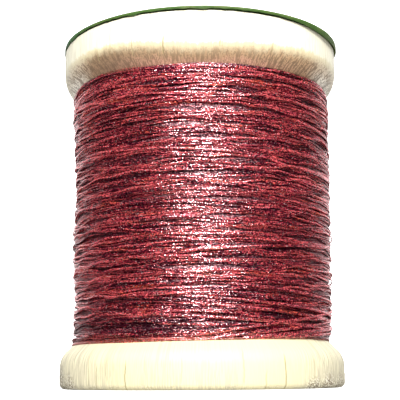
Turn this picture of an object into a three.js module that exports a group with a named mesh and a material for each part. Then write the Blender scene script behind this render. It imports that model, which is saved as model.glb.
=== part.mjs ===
// A turned wooden spool wound with shiny red thread, with a thin green paper label on its top end.
// Millimetres, +Z up. The origin is the middle of the base face, and the spool's axis is the Z axis.
import * as THREE from 'three';

// Driving dimensions
const SPOOL_HEIGHT = 28.0; // the wood from end to end
const FLANGE_RADIUS = 11.5;
const BARREL_RADIUS = 6.5;
const BORE_RADIUS = 3.5;
const BORE_CHAMFER = 0.4;
const BOTTOM_FLANGE = { wall: 1.8, shoulder: 1.55, rim: 0.45 }; // straight wall and the two rounded edges
const TOP_FLANGE = { wall: 2.0, shoulder: 2.3, rim: 0.3 };
const SHOULDER_END_ANGLE = THREE.MathUtils.degToRad(45); // where the shoulder's arc becomes a cone
const STEEP_CONE_END_RADIUS = 9.8; // the cone beside the thread is steep down to here
const SHALLOW_CONE_RISE = 0.45; // rise of the hidden inner cone for each millimetre towards the barrel
const PIECE_GAP = 0.3; // the thread's solid keeps this far from the wood
const LABEL_RADIUS = 11.6;
const LABEL_HOLE_RADIUS = 3.9;
const LABEL_THICKNESS = 0.2;

// The wound form: the radius of the thread at some heights, and how far it leans towards +X there
const WINDING_FORM = [
  { height: 3.8, radius: 10.44, lean: -0.03 },
  { height: 5.4, radius: 10.51, lean: 0.03 },
  { height: 7.0, radius: 10.5, lean: 0.14 },
  { height: 8.7, radius: 10.55, lean: 0.08 },
  { height: 11.1, radius: 10.64, lean: 0.07 },
  { height: 13.6, radius: 10.59, lean: 0.1 },
  { height: 15.3, radius: 10.56, lean: 0.18 },
  { height: 17.0, radius: 10.61, lean: 0.19 },
  { height: 18.7, radius: 10.64, lean: 0.14 },
  { height: 20.4, radius: 10.65, lean: 0.07 },
  { height: 22.1, radius: 10.73, lean: 0.05 },
  { height: 23.5, radius: 10.72, lean: 0.03 },
];

// The main bundles of turns: they climb some pitches for each turn round the spool, some to one side
// and some to the other, and so they cross
const BUNDLES = [
  { pitch: 1.5, climb: 1, height: 0.045, phase: 0.4 },
  { pitch: 1.9, climb: -2, height: 0.04, phase: 2.1 },
];

// Fineness of the faces
const ROUND_SEGMENTS = 72;
const WINDING_ROWS = 56;
const SHOULDER_STEPS = 5;
const RIM_STEPS = 3;

// Points of an arc in the profile plane, from one angle to another about a centre
function arcPoints(centreRadius, centreHeight, arcRadius, startAngle, endAngle, steps) {
  const points = [];
  for (let i = 0; i <= steps; i++) {
    const angle = THREE.MathUtils.lerp(startAngle, endAngle, i / steps);
    const radius = centreRadius + arcRadius * Math.cos(angle);
    const height = centreHeight + arcRadius * Math.sin(angle);
    points.push(new THREE.Vector2(radius, height));
  }
  return points;
}

// Radius and height at which a flange's rounded shoulder ends and its steep cone begins,
// with heights measured from that flange's own end of the spool
function shoulderEnd(flange) {
  return {
    radius: FLANGE_RADIUS - flange.shoulder * (1 - Math.cos(SHOULDER_END_ANGLE)),
    height: flange.wall + flange.shoulder * Math.sin(SHOULDER_END_ANGLE),
  };
}

// Height of a flange's inner face over its own end of the spool, at a radius inside the shoulder
function innerFaceHeight(flange, radius) {
  const end = shoulderEnd(flange);
  const steepRun = end.radius - Math.max(radius, STEEP_CONE_END_RADIUS);
  const shallowRun = Math.max(0, STEEP_CONE_END_RADIUS - radius);
  return end.height + steepRun * Math.tan(SHOULDER_END_ANGLE) + shallowRun * SHALLOW_CONE_RISE;
}

// Half of the spool's profile, from the bore's mouth in one end face out and back to the barrel
function flangeProfile(flange) {
  const quarter = Math.PI / 2;
  const rimCentre = FLANGE_RADIUS - flange.rim;
  const shoulderCentre = FLANGE_RADIUS - flange.shoulder;
  return [
    new THREE.Vector2(BORE_RADIUS, BORE_CHAMFER),
    new THREE.Vector2(BORE_RADIUS + BORE_CHAMFER, 0),
    ...arcPoints(rimCentre, flange.rim, flange.rim, -quarter, 0, RIM_STEPS),
    ...arcPoints(shoulderCentre, flange.wall, flange.shoulder, 0, SHOULDER_END_ANGLE, SHOULDER_STEPS),
    new THREE.Vector2(STEEP_CONE_END_RADIUS, innerFaceHeight(flange, STEEP_CONE_END_RADIUS)),
    new THREE.Vector2(BARREL_RADIUS, innerFaceHeight(flange, BARREL_RADIUS)),
  ];
}

// The same points seen from the spool's other end, in the opposite order
function mirrored(points) {
  return points.map((point) => new THREE.Vector2(point.x, SPOOL_HEIGHT - point.y)).reverse();
}

// A profile that closes on itself, turned round the Z axis
function turned(points) {
  const geometry = new THREE.LatheGeometry([...points, points[0].clone()], ROUND_SEGMENTS);
  geometry.rotateX(Math.PI / 2);
  return geometry;
}

// One named piece with its own finish
function piece(name, geometry, finish) {
  const mesh = new THREE.Mesh(geometry, new THREE.MeshStandardMaterial(finish));
  mesh.name = name;
  return mesh;
}

// Value of one column of the winding's form at a height, straight between its rows
function windingValue(column, height) {
  const last = WINDING_FORM.length - 1;
  const above = WINDING_FORM.findIndex((row) => row.height > height);
  if (above === 0) return WINDING_FORM[0][column];
  if (above < 0) return WINDING_FORM[last][column];
  const low = WINDING_FORM[above - 1];
  const high = WINDING_FORM[above];
  const share = (height - low.height) / (high.height - low.height);
  return THREE.MathUtils.lerp(low[column], high[column], share);
}

// How far the crossing bundles stand out of the winding at an angle and a height
function bundleHeight(angle, height) {
  return BUNDLES.reduce((sum, bundle) => {
    const turns = height / bundle.pitch - (bundle.climb * angle) / (2 * Math.PI);
    return sum + bundle.height * Math.cos(2 * Math.PI * turns + bundle.phase);
  }, 0);
}

// The spool itself: two flanges and the barrel between them, with a bore from end to end
function woodenSpool() {
  const half = flangeProfile(BOTTOM_FLANGE);
  const geometry = turned([...half, ...mirrored(flangeProfile(TOP_FLANGE))]);
  return piece('wooden_spool', geometry, { color: 0xf2ead2, roughness: 0.6, metalness: 0 });
}

// The wound thread: a ring on the barrel that fills the room between the two flanges
function threadWinding() {
  const clearance = PIECE_GAP / Math.cos(SHOULDER_END_ANGLE);
  const innerRadius = BARREL_RADIUS + PIECE_GAP;
  const bottomRadius = windingValue('radius', 0);
  const topRadius = windingValue('radius', SPOOL_HEIGHT);
  const bottomAt = (radius) => innerFaceHeight(BOTTOM_FLANGE, radius) + clearance;
  const topAt = (radius) => SPOOL_HEIGHT - innerFaceHeight(TOP_FLANGE, radius) - clearance;

  const profile = [
    new THREE.Vector2(innerRadius, bottomAt(innerRadius)),
    new THREE.Vector2(STEEP_CONE_END_RADIUS, bottomAt(STEEP_CONE_END_RADIUS)),
  ];
  const low = bottomAt(bottomRadius);
  const high = topAt(topRadius);
  for (let i = 0; i <= WINDING_ROWS; i++) {
    const height = THREE.MathUtils.lerp(low, high, i / WINDING_ROWS);
    profile.push(new THREE.Vector2(windingValue('radius', height), height));
  }
  profile.push(new THREE.Vector2(STEEP_CONE_END_RADIUS, topAt(STEEP_CONE_END_RADIUS)));
  profile.push(new THREE.Vector2(innerRadius, topAt(innerRadius)));

  const geometry = turned(profile);
  raiseBundles(geometry, low, high);
  return piece('thread_winding', geometry, { color: 0x8e1f30, roughness: 0.35, metalness: 0.2 });
}

// Moves the points of the winding's outside: the lean of its form and the crossing bundles,
// which fade out at both ends of the winding
function raiseBundles(geometry, low, high) {
  const fadeLength = 0.8;
  const outside = (STEEP_CONE_END_RADIUS + WINDING_FORM[0].radius) / 2;
  const position = geometry.getAttribute('position');
  const point = new THREE.Vector3();
  for (let i = 0; i < position.count; i++) {
    point.fromBufferAttribute(position, i);
    const radius = Math.hypot(point.x, point.y);
    if (radius < outside) continue;
    const angle = Math.atan2(point.y, point.x);
    const toEnd = Math.min(point.z - low, high - point.z);
    const fade = THREE.MathUtils.smoothstep(toEnd, 0, fadeLength);
    const lean = windingValue('lean', point.z) * Math.cos(angle);
    const raised = radius + (lean + bundleHeight(angle, point.z)) * fade;
    position.setXY(i, raised * Math.cos(angle), raised * Math.sin(angle));
  }
}

// The end label: a thin paper disc with a hole for the bore, lying on the top face
function endLabel() {
  const top = SPOOL_HEIGHT + LABEL_THICKNESS;
  const geometry = turned([
    new THREE.Vector2(LABEL_HOLE_RADIUS, SPOOL_HEIGHT),
    new THREE.Vector2(LABEL_RADIUS, SPOOL_HEIGHT),
    new THREE.Vector2(LABEL_RADIUS, top),
    new THREE.Vector2(LABEL_HOLE_RADIUS, top),
  ]);
  return piece('end_label', geometry, { color: 0x4f8a3c, roughness: 0.7, metalness: 0 });
}

const spoolOfThread = new THREE.Group();
spoolOfThread.name = 'spool_of_thread';
spoolOfThread.add(woodenSpool(), threadWinding(), endLabel());

export default spoolOfThread;
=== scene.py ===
"""Looks of a spool of fly tying thread: a turned wooden spool, its shiny red winding and its paper end label.

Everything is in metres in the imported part's own frame: +Z up, origin in the middle of the base face. The
tables and the functions of the forms are in millimetres. An angle of -90 degrees faces the camera.
"""

import math
from functools import partialmethod

import bpy
import numpy as np
from mathutils import Matrix, Vector


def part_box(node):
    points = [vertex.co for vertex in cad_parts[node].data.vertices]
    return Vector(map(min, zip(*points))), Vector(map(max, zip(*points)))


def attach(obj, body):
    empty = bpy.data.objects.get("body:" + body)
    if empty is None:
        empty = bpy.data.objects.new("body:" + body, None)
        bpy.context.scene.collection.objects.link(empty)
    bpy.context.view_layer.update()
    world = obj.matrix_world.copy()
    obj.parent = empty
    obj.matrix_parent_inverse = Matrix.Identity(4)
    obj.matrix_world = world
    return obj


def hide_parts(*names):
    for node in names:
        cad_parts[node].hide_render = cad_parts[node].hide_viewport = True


bl_info = {
    "name": "Spool of tying thread",
    "version": (1, 0, 0),
    "blender": (4, 5, 0),
    "location": "View3D > Sidebar > Spool",
    "description": "Builds the spool, its winding, its end label and a plain studio around the packed part",
    "category": "Object",
}

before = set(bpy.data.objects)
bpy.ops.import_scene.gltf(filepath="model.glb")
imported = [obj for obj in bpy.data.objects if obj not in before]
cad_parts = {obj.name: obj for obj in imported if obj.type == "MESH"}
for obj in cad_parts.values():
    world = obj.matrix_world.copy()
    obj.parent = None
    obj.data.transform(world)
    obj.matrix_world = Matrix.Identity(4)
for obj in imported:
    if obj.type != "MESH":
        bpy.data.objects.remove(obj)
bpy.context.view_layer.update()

MM = 0.001
FULL_TURN = 2 * math.pi
QUARTER_TURN = math.pi / 2


def table(columns, *rows):
    """Rows of values under named columns."""
    return [dict(zip(columns.split(), row)) for row in rows]


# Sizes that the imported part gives, in millimetres
WOOD_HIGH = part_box("wooden_spool")[1]
LABEL_LOW, LABEL_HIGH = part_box("end_label")
SPOOL_HEIGHT = WOOD_HIGH.z / MM
FLANGE_RADIUS = WOOD_HIGH.x / MM
LABEL_RADIUS = LABEL_HIGH.x / MM
LABEL_THICKNESS = (LABEL_HIGH.z - LABEL_LOW.z) / MM

# Sizes that the part's box doesn't give, as in the part's source, in millimetres
BARREL_RADIUS = 6.5
BORE_RADIUS = 3.5
BORE_CHAMFER = 0.4
STEEP_CONE_END_RADIUS = 9.8
SHALLOW_CONE_RISE = 0.45
SHOULDER_END_ANGLE = math.radians(45)
BOTTOM_FLANGE = {"wall": 1.8, "shoulder": 1.55, "rim": 0.45}
TOP_FLANGE = {"wall": 2.0, "shoulder": 2.3, "rim": 0.3}
LABEL_HOLE_RADIUS = 3.9

# The wound form, as in the part's source, with its lean towards +X
WINDING_FORM = table(
    "height radius lean",
    (3.8, 10.44, -0.03),
    (5.4, 10.51, 0.03),
    (7.0, 10.5, 0.14),
    (8.7, 10.55, 0.08),
    (11.1, 10.64, 0.07),
    (13.6, 10.59, 0.1),
    (15.3, 10.56, 0.18),
    (17.0, 10.61, 0.19),
    (18.7, 10.64, 0.14),
    (20.4, 10.65, 0.07),
    (22.1, 10.73, 0.05),
    (23.5, 10.72, 0.03),
)

# Fineness of the turned pieces
RIM_STEPS = 6
SHOULDER_STEPS = 10
SMOOTH_ANGLE = math.radians(35)
MERGE_DISTANCE = 1e-7

# Waves that push neighbouring turns together and apart, so that they bunch and part in short stretches:
# the range of their lengths along the spool, the spread of how many pitches each one climbs in a turn,
# their size as a share of their length, and how far a bundle stands out as a share of that push
CLUMP_WAVES = {"seed": 23, "count": 26, "length": (0.42, 1.8), "climb": 6, "size": 0.022, "swell": 0.25}

# The layers of turns from the inside out. The thread's width and depth are multiplied by size; a turn
# climbs between the two slopes, or evenly if they are 0; lift is over the wound form, with its spread and
# the sideways wander; shade runs from 0, burgundy, to 1, bright red. The inner turns' low shade is
# painted shade, where they show between the outer turns
LAYERS = table(
    "name seed turns sides size slopes lift spread wander shade",
    ("inner_turns", 7, 62, 6, 1.0, (0, 0), -0.03, 0.035, 0.07, 0.10),
    ("outer_turns", 8, 66, 6, 0.9, (0.5, 2.0), 0.0, 0.05, 0.06, 0.46),
    ("crossing_turns", 19, 62, 6, 0.85, (1.2, 4.2), 0.02, 0.06, 0.05, 0.54),
    ("fine_filaments", 31, 110, 3, 0.28, (1.0, 5.5), 0.02, 0.055, 0.09, 0.75),
)

# How the turns wander: the shares of it, and how many steps each share holds together
SIDEWAYS = ((0.6, 16), (0.5, 45), (0.4, 4))
UP_AND_DOWN = ((0.7, 4), (0.6, 14), (0.5, 50))
SHADES = ((0.16, 2), (0.27, 7), (0.22, 40))
ROLL = (0.35, 12)
STRAND_ROLL = (0.3, 12)
STRAND_RIPPLE = (0.012, 4)
STRAND_SHADE_REACH = 5

# The run at both ends over which the pushes fade out, and how far the crossing layers stay from the ends
END_FADE = 0.5
END_MARGIN = 0.1

# Painted shade: the turns are painted darker towards the lower end (where that begins, over what height,
# and by how much), darker the more they sink and in the pits; painted light: lighter the more they stand out
PAINTED_SHADE_LOW_END = {"height": 7.5, "run": 3.5, "shade": 0.38}
SHADE_BY_LIFT = 3.0
SHADE_BY_PIT = 3.5

# The body of the winding: how far it lies under the form, how clear it stays of the wood, how far beyond
# the end of the steep cone its outside begins, its fineness, and its shade, painted dark as painted shade
# where it shows between the turns, and darker still as painted shade in the pits
UNDER_LAYER = {
    "depth": 0.16, "clear": 0.02, "edge": 0.2, "rows": 150, "steps": 144, "shade": -0.1, "pits": 3.0
}

# Small places where the turns part and sink: how many, and their half length, half height and depth
PIT_SEED = 5
PIT_HEIGHTS = (3.6, 24.0)
PIT_TILT = 0.02
PITS = table(
    "count length height depth",
    (190, (0.4, 1.0), (0.10, 0.20), (0.06, 0.16)),
    (150, (1.4, 3.4), (0.06, 0.11), (0.05, 0.10)),
)

# Strands laid last, most of them across the lower right front
LAST_STRANDS = table(
    "from_angle to_angle from_height to_height",
    (-84, 8, 3.7, 5.6),
    (-72, 20, 3.68, 5.2),
    (-66, 15, 3.66, 5.0),
    (-95, 2, 3.8, 6.3),
    (-60, 30, 3.65, 4.7),
    (-110, -20, 5.4, 4.4),
    (-120, -35, 9.6, 10.7),
    (-150, -70, 18.1, 17.2),
    (-98, -12, 6.7, 5.5),
    (-84, -20, 6.0, 5.1),
    (-76, -8, 7.5, 6.5),
)

# Their thickness over that of a turn, the angle in which they rise or dive, how high they run under and
# over the turns, and how far they sink in
STRAND = {"seed": 41, "size": 1.25, "dive": math.radians(9), "under": -0.5, "over": 0.08, "sink": 0.03}

# The even coil that single strands are made from, before they are laid
STRAND_COIL = {"sides": 6, "radius": 10.6, "low": 5, "rise": 0.1}

# The lowest turns lie on the lower flange's shoulder: the height of the first one round the spool, and
# how far each further turn lies above it
EDGE_HEIGHTS = table(
    "angle height",
    (-180, 3.43),
    (-160, 3.40),
    (-125, 3.42),
    (-105, 3.46),
    (-90, 3.49),
    (-70, 3.55),
    (-40, 3.6),
    (180, 3.6),
)
EDGE_TURNS = {"seed": 57, "count": 3, "apart": 0.11, "wander": (0.02, 8), "over": 0.08}

# How far the topmost turns droop below the top flange, from what height, and the run to the full droop
TOP_DROOP = table("angle droop", (-180, 0.30), (-164, 0.30), (-152, 0.0), (150, 0.0), (180, 0.30))
DROOP_HEIGHT = 22.6
DROOP_RUN = 1.2

# The label's rim round the spool: how far its lip is folded down over the wood, how ragged that lip is,
# and how far it stands out
LABEL_RIM = table(
    "angle fold ragged reach",
    (-180, 0.10, 0.10, 0.02),
    (-165, 0.30, 0.14, 0.05),
    (-153, 0.20, 0.14, 0.06),
    (-144, 0.05, 0.06, 0.04),
    (-60, 0.02, 0.04, 0.0),
    (-46, 0.18, 0.0, 0.05),
    (-30, 0.42, 0.0, 0.07),
    (-17, 0.38, 0.0, 0.03),
    (-8, 0.12, 0.0, 0.0),
    (0, 0.0, 0.0, 0.0),
    (172, 0.0, 0.02, 0.0),
    (180, 0.10, 0.10, 0.02),
)

# The paper's lip and rounded edge, the clearance under it, the width that reaches out, and its fineness
PAPER = {"seed": 3, "lip": 0.07, "edge": 0.05, "under": 0.004, "reaching": 0.6, "rings": 12, "steps": 360}
TATTER_WAVES = np.arange(9, 120, 4)

# The dark lines of the wood's grain, from their lower to their upper end
GRAIN_LINES = table(
    "angle low high strength",
    (-136.7, 0.0, 3.0, 0.5),
    (-132.3, 0.0, 2.0, 0.6),
    (-127.0, 0.5, 2.5, 0.35),
    (-118.5, -0.2, 2.2, 0.9),
    (-110.5, 1.0, 2.5, 0.3),
    (-97.3, 0.4, 2.5, 0.35),
    (-75.2, 0.3, 3.0, 0.55),
    (-66.7, -0.2, 1.5, 0.6),
    (-58.6, -0.2, 2.6, 1.0),
    (-44.2, 0.5, 2.6, 0.5),
    (15.0, -0.2, 2.9, 0.7),
    (64.0, 0.2, 2.2, 0.5),
    (121.0, -0.2, 2.6, 0.8),
    (-145.7, 25.9, 27.0, 0.3),
    (-142.0, 25.0, 26.1, 0.7),
    (-133.7, 24.9, 26.0, 0.9),
    (-127.0, 25.2, 27.9, 0.35),
    (-116.9, 24.8, 26.4, 0.6),
    (-104.1, 24.6, 26.3, 1.0),
    (-82.1, 25.1, 26.0, 0.7),
    (-61.2, 24.9, 25.9, 0.7),
    (-28.5, 25.0, 27.2, 0.5),
    (40.0, 24.8, 27.4, 0.7),
    (98.0, 25.0, 26.8, 0.6),
)

# Worn and chipped places of the wood's surface
WORN_PLACES = table(
    "angle height half_width",
    (-22, -0.3, 2.0),
    (-34, -0.3, 1.9),
    (-44, -0.3, 1.5),
    (-152, -0.2, 1.8),
    (-164, 0.1, 2.4),
    (70, 26.8, 2.0),
)

# Heights between which the lower half of the spool turns into the upper half
MIDDLE = (15, 16)

# Height of the point from which the brushed lines of the top flange's underside spread
FAN_POINT = 15.0

# Heights below which the underside is painted: a golden painted highlight, tan painted shade and a red
# painted reflection of the thread, each fading out upwards
PAINTED_HIGHLIGHT_BORDER = (25.2, 25.5)
PAINTED_SHADE_BORDER = (24.4, 25.25)
PAINTED_REFLECTION_BORDER = (23.7, 24.5)

# Places on the spool where its look changes: painted shade at the left of the top flange's underside, a
# painted highlight and a painted shade on the thread, the paper's bluish torn side, and painted light at the
# paper's right end
SHADED_UNDERSIDE = {"angle": -128, "height": 25.0, "half_width": 6.0}
PAINTED_HIGHLIGHT_PLACE = {"angle": -95, "height": 14.0, "half_width": 6.0}
PAINTED_SHADE_PLACE = {"angle": -102, "height": 22.7, "half_width": 3.2}
BLUISH_PAPER = {"angle": -165, "height": SPOOL_HEIGHT, "half_width": 7.0}
PAINTED_LIGHT_PAPER = {"angle": -5, "height": SPOOL_HEIGHT, "half_width": 4.5}

# The soft lights face the middle of the spool: degrees, metres and watts
LIGHTS = table(
    "name azimuth elevation distance size watts",
    ("Key light", -86, 50, 0.35, 0.18, 1.0),
    ("Front light", -89, 29, 0.35, 0.10, 2.25),
)


# Settings

def colour_setting(name, description, default):
    """A colour in a group of settings."""
    return bpy.props.FloatVectorProperty(name=name, description=description, subtype="COLOR", default=default)


def length_setting(name, description, millimetres):
    """A length in a group of settings."""
    return bpy.props.FloatProperty(
        name=name, description=description, default=millimetres * MM, unit="LENGTH", precision=5
    )


def angle_setting(name, description, degrees):
    """An angle in a group of settings."""
    return bpy.props.FloatProperty(
        name=name, description=description, default=math.radians(degrees), subtype="ANGLE"
    )


class SpoolWoodSettings(bpy.types.PropertyGroup):
    """Sizes and colours of the turned wood."""

    steps: bpy.props.IntProperty(
        name="Steps", description="Faces round the spool", default=256, min=32, max=720
    )
    pale: colour_setting("Pale wood", "Main colour of the wood", (0.61, 0.55, 0.325))
    # Painted light: the top flange's wall and upper half are painted with this whiter colour, where more
    # light falls
    wall: colour_setting("Whiter wood", "Colour of the top flange's wall", (0.65, 0.64, 0.58))
    # Colour of the palest places: worn speckle, and painted light at the two ends of the top flange's
    # underside
    pale_wear_and_light: colour_setting("Chalky wood", "Colour of the palest places", (0.85, 0.80, 0.70))
    grain: colour_setting("Grain", "Colour of the fine grain lines", (0.37, 0.33, 0.24))
    # Painted light and shade of the top flange's underside: the golden painted highlight at its border, the
    # tan painted shade, and the red painted reflection of the thread beside it
    golden: colour_setting("Golden border", "Colour where the underside begins", (0.42, 0.33, 0.15))
    tan: colour_setting("Tan underside", "Colour of the top flange's underside", (0.34, 0.215, 0.115))
    line: colour_setting("Grain lines", "Colour of the dark lines of the grain", (0.26, 0.21, 0.09))
    painted_red_reflection: colour_setting("Rosy shade", "Colour of the underside beside the thread", (0.60, 0.30, 0.21))
    # Pores and scratches, and also the painted shade at the left of the top flange's underside
    pore_and_shade: colour_setting("Pores", "Colour of the pores", (0.11, 0.065, 0.035))


class SpoolThreadSettings(bpy.types.PropertyGroup):
    """Sizes and colours of the thread."""

    width: length_setting("Width", "Width of the flattened thread", 0.19)
    depth: length_setting("Depth", "Thickness of the flattened thread", 0.13)
    steps: bpy.props.IntProperty(
        name="Steps", description="Lengths of thread in one turn", default=200, min=24, max=360
    )
    spark: colour_setting("Sparks", "Colour of the pale sparks in the shine", (0.62, 0.40, 0.41))
    # Painted glints: the few pale dots are mostly not metallic, so they show pale from all sides
    painted_glint: colour_setting("Flecks", "Colour of the few flecks, pale from all sides", (0.8, 0.46, 0.45))
    glint: colour_setting("Glint red", "Colour of the brightest filaments", (0.85, 0.14, 0.15))
    bright: colour_setting("Bright red", "Colour of the lit filaments", (0.56, 0.050, 0.074))
    middle: colour_setting("Dark red", "Main colour of the thread", (0.29, 0.013, 0.036))
    burgundy: colour_setting("Burgundy", "Colour of the shaded filaments", (0.12, 0.003, 0.016))
    deep: colour_setting("Deep burgundy", "Colour between the turns", (0.032, 0.0004, 0.009))
    warm: colour_setting("Warm tint", "Tint of the warmer stretches", (1.0, 1.0, 0.55))
    edge: colour_setting("Warm edge", "Colour of the lowest turns, lit from the wood", (0.60, 0.16, 0.07))
    magenta: colour_setting("Magenta tint", "Tint of the cooler stretches", (0.8, 0.7, 1.0))


class SpoolLabelSettings(bpy.types.PropertyGroup):
    """Sizes and colours of the end label."""

    offset: length_setting("Offset", "How far off centre the label is stuck", 0.09)
    green: colour_setting("Green", "Colour of the paper", (0.042, 0.088, 0.018))
    bluish: colour_setting("Bluish green", "Colour of the paper at its torn side", (0.045, 0.135, 0.06))
    # Worn streaks, the lighter top, and painted light at the paper's right end
    streak_and_painted_light: colour_setting("Streaks", "Colour of the paper's worn fibres", (0.15, 0.17, 0.06))


class SpoolStageSettings(bpy.types.PropertyGroup):
    """The camera and the floor."""

    distance: length_setting("Distance", "Camera to the spool's axis", 78.73)
    height: length_setting("Height", "Camera over the floor", 1.148)
    pitch: angle_setting("Pitch", "How far the camera looks up", 10.357)
    roll: angle_setting("Roll", "How far the camera leans", -0.433)
    yaw: angle_setting("Yaw", "How far the camera looks to the right", -0.05)
    lens: bpy.props.FloatProperty(
        name="Lens", description="Focal length in millimetres on a 36 mm wide sensor", default=85.5
    )
    floor: colour_setting("Floor", "Colour of the floor", (0.45, 0.45, 0.44))


# Meshes

def start_afresh():
    """Leaves edit mode and deselects everything, so that an operator acts only on what comes next."""
    if bpy.context.object and bpy.context.object.mode != "OBJECT":
        bpy.ops.object.mode_set(mode="OBJECT")
    bpy.ops.object.select_all(action="DESELECT")


def name_piece(obj, name):
    """Gives the object and its mesh the piece's name."""
    obj.name = name
    obj.data.name = name
    return obj


def apply_place(obj):
    """Moves the object's place, turn and size into its mesh."""
    start_afresh()
    obj.select_set(True)
    bpy.context.view_layer.objects.active = obj
    bpy.ops.object.transform_apply(location=True, rotation=True, scale=True)


def read_points(obj):
    """The mesh's points as an array of rows."""
    flat = np.empty(len(obj.data.vertices) * 3)
    obj.data.vertices.foreach_get("co", flat)
    return flat.reshape(-1, 3)


def write_points(obj, points):
    """Moves the mesh's points to the rows of an array."""
    obj.data.vertices.foreach_set("co", points.reshape(-1))
    obj.data.update()


def write_values(obj, name, values):
    """Stores one number for each point of the mesh, for the materials to read."""
    attribute = obj.data.attributes.new(name, "FLOAT", "POINT")
    attribute.data.foreach_set("value", values.astype(np.float32))


def turned_piece(name, profile, steps):
    """A closed profile of (radius, height) points, drawn by extruding one point and spun round Z."""
    start_afresh()
    first = Vector((profile[0][0] * MM, 0, profile[0][1] * MM))
    bpy.ops.mesh.primitive_circle_add(vertices=3, radius=MM, location=first)
    obj = name_piece(bpy.context.object, name)
    apply_place(obj)
    bpy.ops.object.mode_set(mode="EDIT")
    bpy.ops.mesh.select_all(action="SELECT")
    bpy.ops.mesh.merge(type="CENTER")
    last = first
    for radius, height in profile[1:]:
        point = Vector((radius * MM, 0, height * MM))
        bpy.ops.mesh.extrude_region_move(TRANSFORM_OT_translate={"value": point - last})
        last = point
    bpy.ops.mesh.extrude_region_move(TRANSFORM_OT_translate={"value": first - last})
    bpy.ops.mesh.select_all(action="SELECT")
    bpy.ops.mesh.remove_doubles(threshold=MERGE_DISTANCE)
    bpy.ops.mesh.spin(steps=steps, angle=FULL_TURN, center=(0, 0, 0), axis=(0, 0, 1))
    bpy.ops.mesh.select_all(action="SELECT")
    bpy.ops.mesh.remove_doubles(threshold=MERGE_DISTANCE)
    bpy.ops.mesh.normals_make_consistent(inside=False)
    bpy.ops.object.mode_set(mode="OBJECT")
    bpy.ops.object.shade_smooth_by_angle(angle=SMOOTH_ANGLE)
    return obj


def coil(name, turns, sides, settings, size, radius, low, rise):
    """An even coil of flattened thread from a Screw modifier, and its points as (step, side, axis) rows."""
    steps = settings.steps
    start_afresh()
    bpy.ops.mesh.primitive_circle_add(
        vertices=sides, radius=0.5, location=(radius * MM, 0, low * MM), rotation=(QUARTER_TURN, 0, 0)
    )
    obj = name_piece(bpy.context.object, name)
    obj.scale = (settings.depth * size, settings.width * size, 1)
    apply_place(obj)
    screw = obj.modifiers.new("Turns", "SCREW")
    screw.axis = "Z"
    screw.angle = FULL_TURN
    screw.steps = screw.render_steps = steps
    screw.iterations = turns
    screw.screw_offset = rise * MM
    screw.use_smooth_shade = True
    bpy.ops.object.modifier_apply(modifier=screw.name)
    bpy.ops.object.mode_set(mode="EDIT")
    bpy.ops.mesh.select_all(action="SELECT")
    bpy.ops.mesh.fill_holes(sides=sides)
    bpy.ops.mesh.select_all(action="SELECT")
    bpy.ops.mesh.normals_make_consistent(inside=False)
    bpy.ops.object.mode_set(mode="OBJECT")
    return obj, read_points(obj).reshape(turns * steps + 1, sides, 3)


# The form of the wood and of the winding

def read_between(rows, key, column, values):
    """Values of a table's column, straight between its rows, at values of its key column."""
    return np.interp(values, [row[key] for row in rows], [row[column] for row in rows])


def within_half_turn(angles):
    """The same angles between minus and plus half a turn."""
    return (angles + math.pi) % FULL_TURN - math.pi


def arc_points(centre_radius, centre_height, arc_radius, start, end, steps):
    """Points of an arc in the profile plane, from one angle to another about a centre."""
    angles = np.linspace(start, end, steps + 1)
    return [
        (centre_radius + arc_radius * math.cos(angle), centre_height + arc_radius * math.sin(angle))
        for angle in angles
    ]


def shoulder_end(flange):
    """Radius, and height over its own end of the spool, at which a flange's shoulder becomes a cone."""
    radius = FLANGE_RADIUS - flange["shoulder"] * (1 - math.cos(SHOULDER_END_ANGLE))
    return radius, flange["wall"] + flange["shoulder"] * math.sin(SHOULDER_END_ANGLE)


def inner_face_height(flange, radius):
    """Height of a flange's inner face over its own end of the spool, at a radius inside the shoulder."""
    end_radius, end_height = shoulder_end(flange)
    steep_run = end_radius - max(radius, STEEP_CONE_END_RADIUS)
    shallow_run = max(0, STEEP_CONE_END_RADIUS - radius)
    return end_height + steep_run * math.tan(SHOULDER_END_ANGLE) + shallow_run * SHALLOW_CONE_RISE


def inner_face_radius(flange, heights):
    """Radius of a flange's steep inner cone at heights over its own end of the spool."""
    end_radius, end_height = shoulder_end(flange)
    return end_radius - (heights - end_height) / math.tan(SHOULDER_END_ANGLE)


def flange_profile(flange):
    """Half of the spool's profile, from the bore's mouth out over the rim and back to the barrel."""
    wall, rim, shoulder = flange["wall"], flange["rim"], flange["shoulder"]
    return [
        (BORE_RADIUS, BORE_CHAMFER),
        (BORE_RADIUS + BORE_CHAMFER, 0),
        *arc_points(FLANGE_RADIUS - rim, rim, rim, -QUARTER_TURN, 0, RIM_STEPS),
        *arc_points(FLANGE_RADIUS - shoulder, wall, shoulder, 0, SHOULDER_END_ANGLE, SHOULDER_STEPS),
        (STEEP_CONE_END_RADIUS, inner_face_height(flange, STEEP_CONE_END_RADIUS)),
        (BARREL_RADIUS, inner_face_height(flange, BARREL_RADIUS)),
    ]


def form_radius(heights, angles):
    """Radius of the wound form at heights and angles."""
    lean = read_between(WINDING_FORM, "height", "lean", heights)
    return read_between(WINDING_FORM, "height", "radius", heights) + lean * np.cos(angles)


def drooped(heights, angles):
    """The heights, with the topmost turns lower where they droop."""
    droop = read_between(TOP_DROOP, "angle", "droop", np.degrees(within_half_turn(angles)))
    return heights - droop * np.clip((heights - DROOP_HEIGHT) / DROOP_RUN, 0, 1)


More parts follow.
